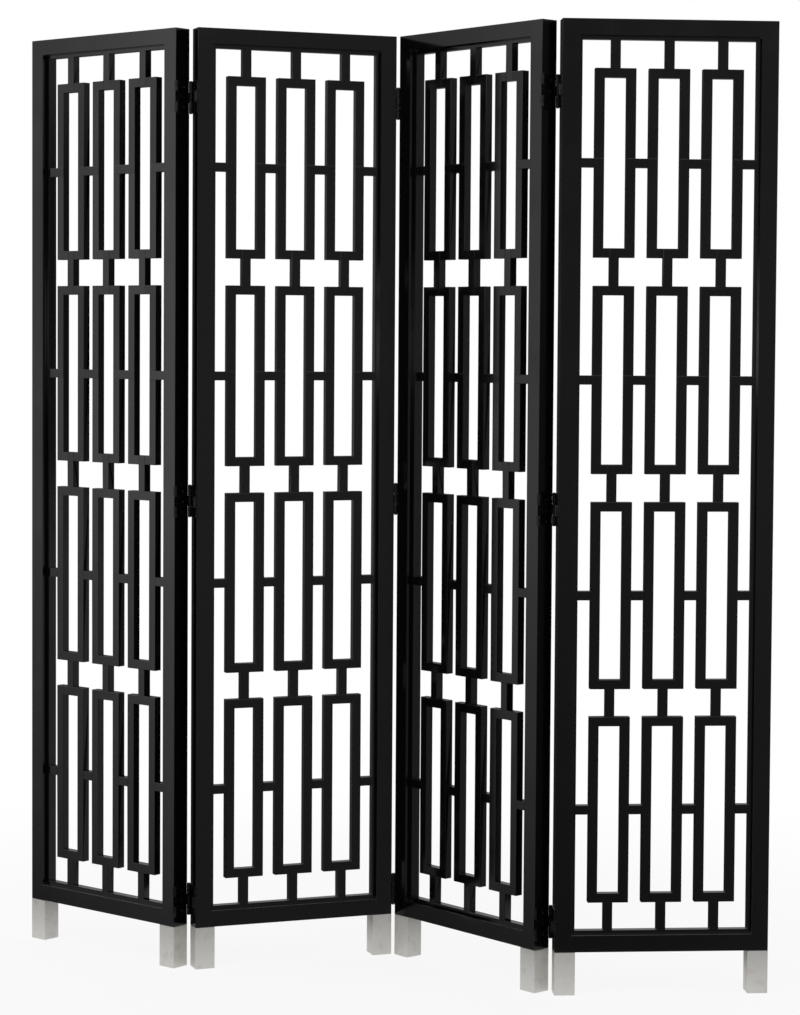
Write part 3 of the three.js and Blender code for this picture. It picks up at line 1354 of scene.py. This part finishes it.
@dataclass(frozen=True)
class ScrewSet:
    """The countersunk wood screws of one panel's hinge leaves."""

    hinge: Hinge
    head_radius: float = 0.0034
    shank_radius: float = 0.0017
    shank_length: float = 0.014
    recess_width: float = 0.0009
    recess_depth: float = 0.0009
    sides: int = 24

    @staticmethod
    def tree() -> GeometryTree:
        """Builds the node tree that puts a cross-head screw on each point of a mesh.

        Returns:
            The tree.
        """
        tree = GeometryTree("countersunk_screws")
        sides, seed = tree.count("Sides"), tree.count("Seed")
        head, shank = tree.size("Head Radius"), tree.size("Shank Radius")
        length = tree.size("Shank Length")
        width, deep = tree.size("Recess Width"), tree.size("Recess Depth")
        slope = head - shank
        tip = shank * 0.3
        seated = slope * 0.9  # so that head and shank overlap
        cross = head * 1.2
        parts = []
        for top, bottom, tall, down in (
            (head, shank, slope, slope),
            (shank, tip, length, length + seated),
        ):
            cone = tree.add(
                "GeometryNodeMeshCone",
                {"Vertices": sides, "Radius Top": top, "Radius Bottom": bottom, "Depth": tall},
            )
            lowered = tree.add(
                "GeometryNodeTransform",
                {"Geometry": cone.outputs["Mesh"], "Translation": tree.vector(0, 0, down * -1.0)},
            )
            parts.append(lowered.outputs[0])
        screw = tree.solid(Operation.JOIN, *parts)
        bars = [tree.block(cross, width, deep * 2.0), tree.block(width, cross, deep * 2.0)]
        screw = tree.solid(Operation.CUT, screw, *bars)
        outward = tree.add(
            "GeometryNodeInputNamedAttribute", {"Name": "outward"}, data_type="FLOAT_VECTOR"
        )
        aim = tree.add(
            "FunctionNodeAlignRotationToVector", {"Vector": outward.outputs[0]}, axis="Z"
        )
        chance = tree.add(
            "FunctionNodeRandomValue", {2: 0.0, 3: math.pi / 2, "Seed": seed}, data_type="FLOAT"
        )
        spin = tree.add(
            "FunctionNodeAxisAngleToRotation",
            {"Axis": (0.0, 0.0, 1.0), "Angle": chance.outputs[1]},
        )
        turn = tree.add(
            "FunctionNodeRotateRotation",
            {"Rotation": aim.outputs[0], "Rotate By": spin.outputs[0]},
            rotation_space="LOCAL",
        )
        points = tree.start.outputs["Geometry"]
        tree.finish(tree.repeat(points, screw, Rotation=turn.outputs[0]))
        return tree

    def mesh(
        self, sides: Sequence[Side], tree: GeometryTree, material: bpy.types.Material
    ) -> bpy.types.Mesh:
        """Puts the screws of a panel's hinged edges in their holes.

        Args:
            sides: the panel's edges that carry hinges.
            tree: the screws' node tree.
            material: their material.

        Returns:
            All of the screws as one mesh, in the panel's frame.
        """
        hinge, size = self.hinge, self.hinge.panel
        edges = {Side.LEFT: (-hinge.face, -1.0), Side.RIGHT: (size.width + hinge.face, 1.0)}
        spots, outward = [], []
        for side in sides:
            x, way = edges[side]
            for middle in hinge.heights.values():
                for step in (-hinge.screw_spacing, 0.0, hinge.screw_spacing):
                    spots.append((x, size.depth / 2, middle + step))
                    outward.extend((way, 0.0, 0.0))
        mesh = bpy.data.meshes.new("screw_spots")
        mesh.from_pydata(spots, [], [])
        mesh.attributes.new("outward", "FLOAT_VECTOR", "POINT").data.foreach_set("vector", outward)
        values = {
            "Material": material,
            "Sides": self.sides,
            "Seed": 7,
            "Head Radius": self.head_radius,
            "Shank Radius": self.shank_radius,
            "Shank Length": self.shank_length,
            "Recess Width": self.recess_width,
            "Recess Depth": self.recess_depth,
        }
        return shade(worked(mesh, tree.dresser(values)))


# ---- The whole screen ------------------------------------------------------------------------


@dataclass
class FoldingScreen:
    """Four panels in a row, joined by hinges."""

    finishes: Finishes
    joints: list[dict]

    def __post_init__(self) -> None:
        """Works out what the panels share."""
        self.panel = PanelSizes()
        self.hinge = Hinge(self.panel)
        self.places = {number: self.panel.place(number) for number in PANEL_NUMBERS}

    def hinged_sides(self, number: int) -> list[Side]:
        """The edges of a panel that carry hinges."""
        ends = {Side.LEFT: PANEL_NUMBERS[0], Side.RIGHT: PANEL_NUMBERS[-1]}
        return [side for side in Side if number != ends[side]]

    def build_frames(self) -> None:
        """Makes the stiles and rails of every panel."""
        frame = PanelFrame(self.panel)
        whole = frame.whole()
        stiles = {
            True: frame.stile(whole, list(self.hinge.heights.values())),
            False: frame.stile(whole, []),
        }
        rails = {place: frame.rail(whole, place) for place in RailPlace}
        for number, place in self.places.items():
            body = f"panel_{number}"
            for side, turn in self.panel.edges.items():
                mesh = stiles[side in self.hinged_sides(number)]
                name, node = f"stile_{number}_{side.value}", f"{body}_{side.value}_stile"
                self.finishes.put(name, mesh, place @ turn, body, Slot.LACQUER, node)
            for where, mesh in rails.items():
                name, node = f"rail_{number}_{where.value}", f"{body}_{where.value}_rail"
                self.finishes.put(name, mesh, place, body, Slot.LACQUER, node)

    def build_lattices(self) -> None:
        """Makes the lattice of every panel."""
        mesh = Lattice(self.panel).mesh(self.finishes.by_slot[Slot.LACQUER])
        for number, place in self.places.items():
            name, body = f"lattice_{number}", f"panel_{number}"
            self.finishes.put(name, mesh, place, body, Slot.LACQUER, f"{body}_lattice")

    def build_feet(self) -> None:
        """Makes the two feet of every panel."""
        mesh = Foot(self.panel).mesh()
        for number, place in self.places.items():
            body = f"panel_{number}"
            for side, turn in self.panel.edges.items():
                name, node = f"foot_{number}_{side.value}", f"{body}_{side.value}_foot"
                self.finishes.put(name, mesh, place @ turn, body, Slot.BRUSHED_STEEL, node)

    def build_hinges(self) -> None:
        """Makes the leaves and pins of every hinge line."""
        hinge, size = self.hinge, self.panel
        leaves = {face: hinge.leaf(face) for face in PinFace}
        pin = hinge.pin()
        other = {PinFace.FRONT: PinFace.BACK, PinFace.BACK: PinFace.FRONT}
        half_turn = Matrix.Rotation(math.pi, 4, "Z")
        for number, joint in enumerate(self.joints, start=1):
            face = PinFace.FRONT if joint["axis"][2] < 0 else PinFace.BACK
            left, right = self.places[number], self.places[number + 1]
            bodies = f"panel_{number}", f"panel_{number + 1}"
            for where, z in hinge.heights.items():
                label = f"{number}_{number + 1}_{where.value}"
                line = (size.width + hinge.gap / 2, hinge.pin_line(face), z)
                near = left @ Matrix.Translation((size.width, 0.0, z))
                far = right @ Matrix.Translation((0.0, size.depth, z)) @ half_turn
                middle = left @ Matrix.Translation(line)
                for name, mesh, place, body in (
                    ("left_leaf", leaves[face], near, bodies[0]),
                    ("pin", pin, middle, bodies[0]),
                    ("right_leaf", leaves[other[face]], far, bodies[1]),
                ):
                    slot, node = Slot.BLACKENED_STEEL, f"hinge_{label}_{name}"
                    self.finishes.put(f"{name}_{label}", mesh, place, body, slot, node)

    def build_screws(self) -> None:
        """Makes the screws of every panel's hinge leaves."""
        screws = ScrewSet(self.hinge)
        tree = screws.tree()
        slot = Slot.BLACKENED_STEEL
        for number, place in self.places.items():
            mesh = screws.mesh(self.hinged_sides(number), tree, self.finishes.by_slot[slot])
            self.finishes.put(f"hinge_screws_{number}", mesh, place, f"panel_{number}", slot)


# ---- The studio ------------------------------------------------------------------------------


@dataclass(frozen=True)
class Room:
    """How bright the room looks to gloss and metal, by heading in degrees, where 1 is white."""

    walls: Levels = (
        (-180, 0.25),
        (-173, 0.25),
        (-171, 0.42),
        (-169.5, 0.68),
        (-163, 0.6),
        (-160, 0.48),
        (-157.3, 1.05),
        (-140, 1.0),
        (-135, 0.15),
        (-128, 0.04),
        (-80, 0.1),
        (-61, 0.15),
        (-52, 0.25),
        (-37, 0.21),
        (-15, 0.1),
        (0, 0.15),
        (11, 0.22),
        (16, 0.08),
        (30, 0.04),
        (55, 0.2),
        (90, 0.3),
        (112, 0.1),
        (118, 0.02),
        (124, 0.05),
        (142, 0.02),
        (146, 0.27),
        (180, 0.25),
    )
    above_and_below: Levels = (
        (-180, 0.0),
        (12, 0.0),
        (17, 0.22),
        (24, 0.22),
        (30, 0.0),
        (180, 0.0),
    )
    ceiling: Levels = (
        (-180, 1.3),
        (-90, 1.5),
        (-30, 1.5),
        (0, 0.45),
        (60, 0.45),
        (110, 1.3),
        (180, 1.3),
    )
    near_floor: Levels = (
        (-180, 0.0),
        (-130, 0.0),
        (-62, 0.4),
        (-36, 0.7),
        (0, 0.7),
        (180, 0.0),
    )
    ceiling_from: float = 0.12  # a direction's upward part, where the ceiling begins
    ceiling_whole: float = 0.4
    eye_level: float = 0.01  # the upward part that above_and_below leaves out
    beyond_from: float = 0.0025  # the square of the distance from eye level
    beyond_whole: float = 0.0072

    @staticmethod
    def by_heading(group: ShaderGroup, heading: Amount, levels: Levels) -> Amount:
        """Looks a level up in a table of headings and levels.

        Args:
            group: the group that the nodes go into.
            heading: the heading, from 0 for -180 degrees to 1 for 180.
            levels: the table.

        Returns:
            The level at that heading.
        """
        ramp = group.add("ShaderNodeValToRGB", {0: heading})
        stops = ramp.color_ramp.elements
        while len(stops) < len(levels):
            stops.new(0.5)
        for stop, (degrees, level) in zip(stops, levels):
            stop.position = (degrees + 180) / 360
            stop.color = (level, level, level, 1.0)
        return Amount(group, ramp.outputs["Color"])

    def tree(self) -> bpy.types.NodeTree:
        """Builds the group that turns a direction and a nearness into a level.

        Returns:
            The group.
        """
        group = ShaderGroup("room_light", {"Nearness": 0.0}, "Level")
        group.tree.interface.new_socket(
            "Direction", in_out="INPUT", socket_type="NodeSocketVector"
        )
        unit = group.add(
            "ShaderNodeVectorMath", {0: group.start.outputs["Direction"]}, operation="NORMALIZE"
        )
        parts = group.add("ShaderNodeSeparateXYZ", {0: unit.outputs[0]}).outputs
        x, y, z = (Amount(group, part) for part in parts)
        heading = y.paired("ARCTAN2", x) / (2 * math.pi) + 0.5
        walls = self.by_heading(group, heading, self.walls)
        ceiling = self.by_heading(group, heading, self.ceiling)
        near = self.by_heading(group, heading, self.near_floor)
        beyond = self.by_heading(group, heading, self.above_and_below)
        away = (z - self.eye_level) * (z - self.eye_level)
        beyond = beyond * group.between(away, self.beyond_from, self.beyond_whole)
        up = group.between(z, self.ceiling_from, self.ceiling_whole)
        level = walls + (ceiling - walls) * up
        dimmed = level * ((near - 1.0) * group.given("Nearness") + 1.0)
        return group.finish(dimmed + beyond)


@dataclass(frozen=True)
class Studio:
    """A white floor, soft light, and a camera in the photographer's place."""

    camera_place: Corner = (1.4610, -4.8046, 1.2212)
    camera_tilt: float = 87.4410
    camera_turn: float = 16.4113
    camera_roll: float = 0.3730
    focal_pixels: float = 2622.44
    image_height: float = 1015.0
    middle_offset_pixels: tuple[float, float] = (-7.46, -55.56)
    film_height: float = 24.0
    floor_radius: float = 14.0
    floor_colour: tuple[float, float, float] = (0.86, 0.86, 0.855)
    floor_whiteness: tuple[float, float] = (0.86, 1.0)  # near the screen and far from it
    whitening: tuple[float, float] = (0.8, 2.2)  # the distances between which it changes
    close_floor: float = 0.68  # how bright gloss shows the floor at its very edge
    closeness: tuple[float, float] = (0.12, 0.38)  # the distances between which that fades
    fade: float = 0.35  # how slowly the near floor's level gives way to the room's
    soft_light: float = 0.8
    aim: Corner = (0.0, 0.0, 0.9)  # where the lamps point

    def build_world(self, room: bpy.types.NodeTree) -> None:
        """Surrounds the scene with white, which gloss and metal see as the room.

        Args:
            room: the group that says how bright the room looks.
        """
        world = bpy.data.worlds.new("studio")
        bpy.context.scene.world = world
        world.use_nodes = True
        bench = NodeBench(world.node_tree)
        bench.tree.nodes.clear()
        level = bench.add("ShaderNodeGroup", node_tree=room)
        bench.feed(level.inputs["Direction"], bench.add("ShaderNodeTexCoord").outputs["Generated"])
        path = bench.add("ShaderNodeLightPath")
        glossy = bench.mix(path.outputs["Is Glossy Ray"], self.soft_light, level.outputs[0])
        seen = bench.add(
            "ShaderNodeMath",
            {0: path.outputs["Is Camera Ray"], 1: path.outputs["Is Transmission Ray"]},
            operation="MAXIMUM",
        )
        strength = bench.mix(seen.outputs[0], glossy, 1.0)
        sky = bench.add(
            "ShaderNodeBackground", {"Color": (1.0, 1.0, 1.0, 1.0), "Strength": strength}
        )
        bench.add("ShaderNodeOutputWorld", {"Surface": sky.outputs[0]})

    def build_floor(self, room: bpy.types.NodeTree) -> None:
        """Lays a white floor that keeps a faint shadow round the screen.

        Args:
            room: the group that says how bright the room looks.
        """
        shape = bmesh.new()
        bmesh.ops.create_circle(shape, cap_ends=True, segments=96, radius=self.floor_radius)
        mesh = to_mesh("floor", shape)
        material = bpy.data.materials.new("pale_floor")
        material.use_nodes = True
        bench = NodeBench(material.node_tree)
        bench.tree.nodes.clear()
        spot = bench.add("ShaderNodeTexCoord").outputs["Object"]
        away = bench.add("ShaderNodeVectorMath", {0: spot}, operation="LENGTH").outputs["Value"]
        path = bench.add("ShaderNodeLightPath")
        white = bench.between(away, *self.whitening, *self.floor_whiteness)
        seen_white = white * path.outputs["Is Camera Ray"]
        level = bench.add("ShaderNodeGroup", node_tree=room)
        back = bench.add("ShaderNodeVectorMath", {0: (0.0, 0.0, 0.0)}, operation="SUBTRACT")
        bench.feed(back.inputs[1], bench.add("ShaderNodeNewGeometry").outputs["Incoming"])
        bench.feed(level.inputs["Direction"], back.outputs[0])
        length = Amount(bench, path.outputs["Ray Length"])
        farness = (length / self.floor_radius).paired("POWER", self.fade)
        bench.feed(level.inputs["Nearness"], farness * -1.0 + 1.0)
        close = bench.between(length, *self.closeness, 1.0, 0.0)
        dim = bench.mix(close, level.outputs[0], self.close_floor)
        paint = bench.add("ShaderNodeBsdfDiffuse", {"Color": (*self.floor_colour, 1.0)})
        plain_white = bench.add("ShaderNodeEmission", {"Strength": 1.0})
        sheen = bench.add("ShaderNodeEmission", {"Strength": dim})
        seen = bench.add(
            "ShaderNodeMixShader", {0: seen_white, 1: paint.outputs[0], 2: plain_white.outputs[0]}
        )
        both = bench.add(
            "ShaderNodeMixShader",
            {0: path.outputs["Is Glossy Ray"], 1: seen.outputs[0], 2: sheen.outputs[0]},
        )
        bench.add("ShaderNodeOutputMaterial", {"Surface": both.outputs[0]})
        mesh.materials.append(material)
        floor = bpy.data.objects.new("floor", mesh)
        bpy.context.scene.collection.objects.link(floor)

    def build_lamp(
        self, name: str, place: Corner, size: tuple[float, float], brightness: float, glossy: bool
    ) -> None:
        """Hangs a rectangular soft lamp that faces the middle of the screen.

        Args:
            name: the lamp's name.
            place: its middle.
            size: its width and height.
            brightness: how bright its face looks, where 1 is white.
            glossy: whether gloss shows it.
        """
        lamp = bpy.data.lights.new(name, "AREA")
        lamp.shape = "RECTANGLE"
        lamp.size, lamp.size_y = size
        lamp.energy = brightness * math.pi * size[0] * size[1]
        hung = bpy.data.objects.new(name, lamp)
        hung.location = place
        toward = Vector(self.aim) - Vector(place)
        hung.rotation_euler = toward.to_track_quat("-Z", "Y").to_euler()
        hung.visible_glossy = glossy
        hung.visible_camera = False
        bpy.context.scene.collection.objects.link(hung)

    def build_camera(self) -> None:
        """Stands the camera in the photographer's place."""
        lens = bpy.data.cameras.new("camera")
        lens.sensor_fit = "VERTICAL"
        lens.sensor_height = self.film_height
        lens.lens = self.focal_pixels / self.image_height * self.film_height
        across, down = self.middle_offset_pixels
        lens.shift_x, lens.shift_y = across / self.image_height, down / self.image_height
        camera = bpy.data.objects.new("camera", lens)
        turn = Matrix.Rotation(math.radians(self.camera_turn), 4, "Z")
        tilt = Matrix.Rotation(math.radians(self.camera_tilt), 4, "X")
        roll = Matrix.Rotation(math.radians(self.camera_roll), 4, "Z")
        camera.matrix_world = Matrix.Translation(self.camera_place) @ turn @ tilt @ roll
        bpy.context.scene.collection.objects.link(camera)
        bpy.context.scene.camera = camera

    def build(self) -> None:
        """Sets up everything around the screen."""
        bpy.context.scene.view_settings.view_transform = "Standard"
        self.build_camera()
        room = Room().tree()
        self.build_world(room)
        self.build_floor(room)
        self.build_lamp("left_softbox", (-2.2, -2.6, 2.9), (2.2, 2.2), 0.9, False)
        self.build_lamp("camera_lamp", (1.52, -5.0, 1.24), (0.5, 0.4), 3.0, True)
        log.info("studio ready")


def main() -> None:
    """Builds the screen and its studio."""
    logging.basicConfig(level=logging.INFO, format="%(name)s: %(message)s")
    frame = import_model()
    Studio().build()
    screen = FoldingScreen(Finishes.make(), frame["joints"])
    screen.build_frames()
    screen.build_lattices()
    screen.build_feet()
    screen.build_hinges()
    screen.build_screws()


if __name__ == "__main__":
    main()
